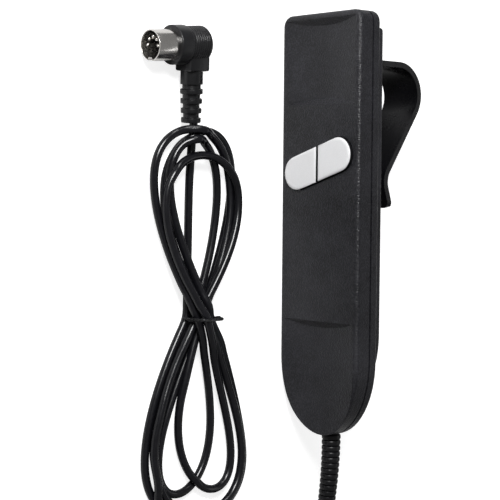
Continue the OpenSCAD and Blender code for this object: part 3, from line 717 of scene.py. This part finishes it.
def makeShell(body, alongY):  # the metal shell with its key groove
    s = plugSizes
    base = s["collarY"] - s["collarL"]
    mouth, under = base - s["shellL"], s["shellR"] - 0.25
    profile = rounded([(base + 6, under), (base + 0.02, under), (base, s["shellR"]), (mouth, s["shellR"]),
                       (mouth, s["shellIn"]), (base + 6, s["shellIn"])], 0.15)
    mesh = turned("plug_sleeve", profile, alongY, 144)
    keyDent(mesh, body, mouth)
    return place("plug_sleeve", mesh, "case", "nickel", "plug_nickel", ["plug_shell"])


def makeCore(alongY):
    s = plugSizes
    base, r = s["collarY"] - 0.3, s["shellIn"] - 0.06
    face = s["collarY"] - s["collarL"] - s["insertFace"]
    mesh = turned("plug_core", rounded([(base, tiny), (base, r), (face, r), (face, tiny)], 0.2), alongY)
    return place("plug_core", mesh, "case", "insertBlack", "inner_plastic", ["plug_insert"])


def makePins(body):  # five round-nosed contacts on a half circle
    s = plugSizes
    base = s["collarY"] - s["collarL"]
    tip = base - s["shellL"] + 1.6 - s["pinR"]
    profile = []
    for degrees in (2, 20, 40, 60, 90):
        a = math.radians(degrees)
        profile.append((tip + s["pinR"] * (1 - math.cos(a)), s["pinR"] * math.sin(a)))
    profile.append((base, s["pinR"]))
    pins = []
    for k in range(5):
        a = math.radians(45 * k)
        middle = Vector((-math.sin(a), 0, math.cos(a))) * s["pinCircle"] * mm
        spot = Matrix.Translation(middle) @ Matrix.Rotation(math.radians(90), 4, "Z")
        pins.append(turned("pin", profile, body @ spot, 24))
    return place("plug_contacts", joined("plug_contacts", pins), "case", "pinNickel", "steel", ["plug_pins"])


def makeRelief(body):  # the ringed strain relief
    s = plugSizes
    start = s["blockX"] + s["neckL"]
    end = start + s["rings"] * s["ringStep"]
    corners = [(start - 0.5, tiny), (start - 0.5, s["neckR"] - s["groove"])]
    for k in range(s["rings"]):
        r, x = s["reliefR"] - s["taper"] * k, start + s["ringStep"] * k
        corners += [(x + s["ringGap"], r - s["groove"]), (x + s["ringGap"], r), (x + s["ringStep"], r)]
        if k < s["rings"] - 1:
            corners.append((x + s["ringStep"], r - s["taper"] - s["groove"]))
    corners += [(end, cord["thick"] / 2 + 0.3), (end - 0.6, tiny)]
    mesh = turned("plug_tail", rounded(corners, 0.4, 3), body, 64)
    return place("plug_tail", mesh, "case", "sleeveBlack", "cord_black", ["plug_relief"])


def roundedBlock(low, high, matrix):
    form = bmesh.new()
    bmesh.ops.create_cube(form, size=1)
    low, high = Vector(low), Vector(high)
    for v in form.verts:
        v.co = Vector([(low[k] + high[k]) / 2 + v.co[k] * (high[k] - low[k]) for k in range(3)]) * mm
    wide = plugSizes["blockRound"] * mm
    bmesh.ops.bevel(form, geom=form.edges[:], offset=wide, segments=4, profile=0.5, affect="EDGES")
    form.transform(matrix)
    mesh = bpy.data.meshes.new("block")
    form.to_mesh(mesh)
    form.free()
    settleNormals(mesh, 60)
    return mesh


def keyDent(mesh, body, mouth):  # presses the key's groove into the shell's side that faces the cord
    s = plugSizes
    back = body.inverted()
    for v in mesh.vertices:
        p = (back @ v.co) / mm
        if p.x > 0 and p.y < mouth + s["keyLong"]:
            inWidth = smoothStep((s["keyWide"] - abs(p.z)) / 0.5)
            v.co = body @ (Vector((p.x - s["keyDeep"] * inWidth, p.y, p.z)) * mm)


plugPieces = makePlug()

tie = {"wire": 0.42, "half": 6.6, "low": 0.75, "high": 16.0, "samples": 150, "twists": 15, "sides": 10,
       "endWire": 0.45, "endLong": 1.7, "endRise": 1.2}


# two thin wires twisted together round the waist of the figure of eight, with short twisted ends
def makeTie():
    tieX, tieY = cord["tie"]
    middle, tall = (tie["low"] + tie["high"]) / 2, (tie["high"] - tie["low"]) / 2
    off = 0.34 * tie["wire"] * 2
    meshes = []
    for phase in (0, math.pi):
        points = []
        for k in range(tie["samples"]):
            a = 2 * math.pi * k / tie["samples"] - math.pi
            c, s = math.cos(a), math.sin(a)
            flat = (abs(c) ** 4 + abs(s) ** 4) ** 0.25  # the loop is a square with round corners
            spin = phase + 2 * math.pi * tie["twists"] * k / tie["samples"]
            y = tieY + (tie["half"] / flat + off * math.cos(spin)) * c
            z = middle + (tall / flat + off * math.cos(spin)) * s
            points.append(tuple(Vector((tieX + off * math.sin(spin), y, z)) * mm))
        meshes.append(tubeMesh("tieWire", points, tie["wire"] * mm, tie["sides"], closed=True))
    for side in (-1, 1):  # the two twisted ends
        for phase in (0, math.pi):
            points = []
            for k in range(26):
                t = k / 25
                spin = phase + t * 9
                y = tieY + side * (tie["half"] + 0.2 + t * tie["endLong"])
                z = middle + tie["endRise"] + 0.4 * math.cos(spin)
                points.append(tuple(Vector((tieX + 0.4 * math.sin(spin), y, z)) * mm))
            meshes.append(tubeMesh("tieEnd", points, tie["endWire"] * mm, tie["sides"]))
    print("tie made")
    return place("tie_wire", joined("tie_wire", meshes), "case", "sleeveBlack", "cord_black", ["cord_tie"])


tiePiece = makeTie()
dress(cordPiece, "cordBlack")

studio = {
    "seenSky": 1.0, "litSky": 0.2,  # as the camera sees the sky, and as it lights the pieces
    "paper": 0.62, "glow": 0.78, "half": 4.0,
    "lights": {  # place and aim in m, width, height, power
        "key": ((-0.38, -0.42, 0.5), (-0.09, -0.06, 0.01), 0.24, 0.24, 6.4),
        "strip": ((0.05, 0.8, 0.72), (0, 0, 0.03), 1.1, 0.08, 0.6),
        "side": ((-0.9, -0.1, 0.45), (0, 0, 0.02), 0.12, 0.5, 2.0),
    },
}


def seenOrLit(tree, lit, seen):  # lets the backdrop look brighter than the light that it gives
    cameraRay = tree.nodes.new("ShaderNodeLightPath").outputs["Is Camera Ray"]
    return rangeAt(tree, cameraRay, 0, 1, lit, seen)


def makeStudio():
    world = bpy.data.worlds.new("studio")
    scene.world = world
    world.use_nodes = True
    tree = world.node_tree
    sky = tree.nodes["Background"]
    sky.inputs["Color"].default_value = (1, 1, 1, 1)
    tree.links.new(seenOrLit(tree, studio["litSky"], studio["seenSky"]), sky.inputs["Strength"])
    for name, (at, aim, wide, high, power) in studio["lights"].items():
        data = bpy.data.lights.new(name, "AREA")
        data.shape = "RECTANGLE"
        data.size, data.size_y, data.energy = wide, high, power
        lamp = bpy.data.objects.new(name, data)
        lamp.location = at
        lamp.rotation_euler = (Vector(at) - Vector(aim)).to_track_quat("Z", "Y").to_euler()
        scene.collection.objects.link(lamp)
    half = studio["half"]
    corners = [(-half, -half, 0), (half, -half, 0), (half, half, 0), (-half, half, 0)]
    mesh = bpy.data.meshes.new("floor")
    mesh.from_pydata(corners, [], [(0, 1, 2, 3)])
    ground = bpy.data.objects.new("floor", mesh)
    scene.collection.objects.link(ground)
    paper = bpy.data.materials.new("paper")
    paper.use_nodes = True
    tree = paper.node_tree
    shader = tree.nodes["Principled BSDF"]
    shader.inputs["Base Color"].default_value = (studio["paper"],) * 3 + (1,)
    shader.inputs["Roughness"].default_value = 0.95
    shader.inputs["Specular IOR Level"].default_value = 0.05
    shader.inputs["Emission Color"].default_value = (1, 1, 1, 1)
    tree.links.new(seenOrLit(tree, 0, studio["glow"]), shader.inputs["Emission Strength"])
    mesh.materials.append(paper)
    scene.view_settings.view_transform = "Standard"
    print("studio made")


makeStudio()
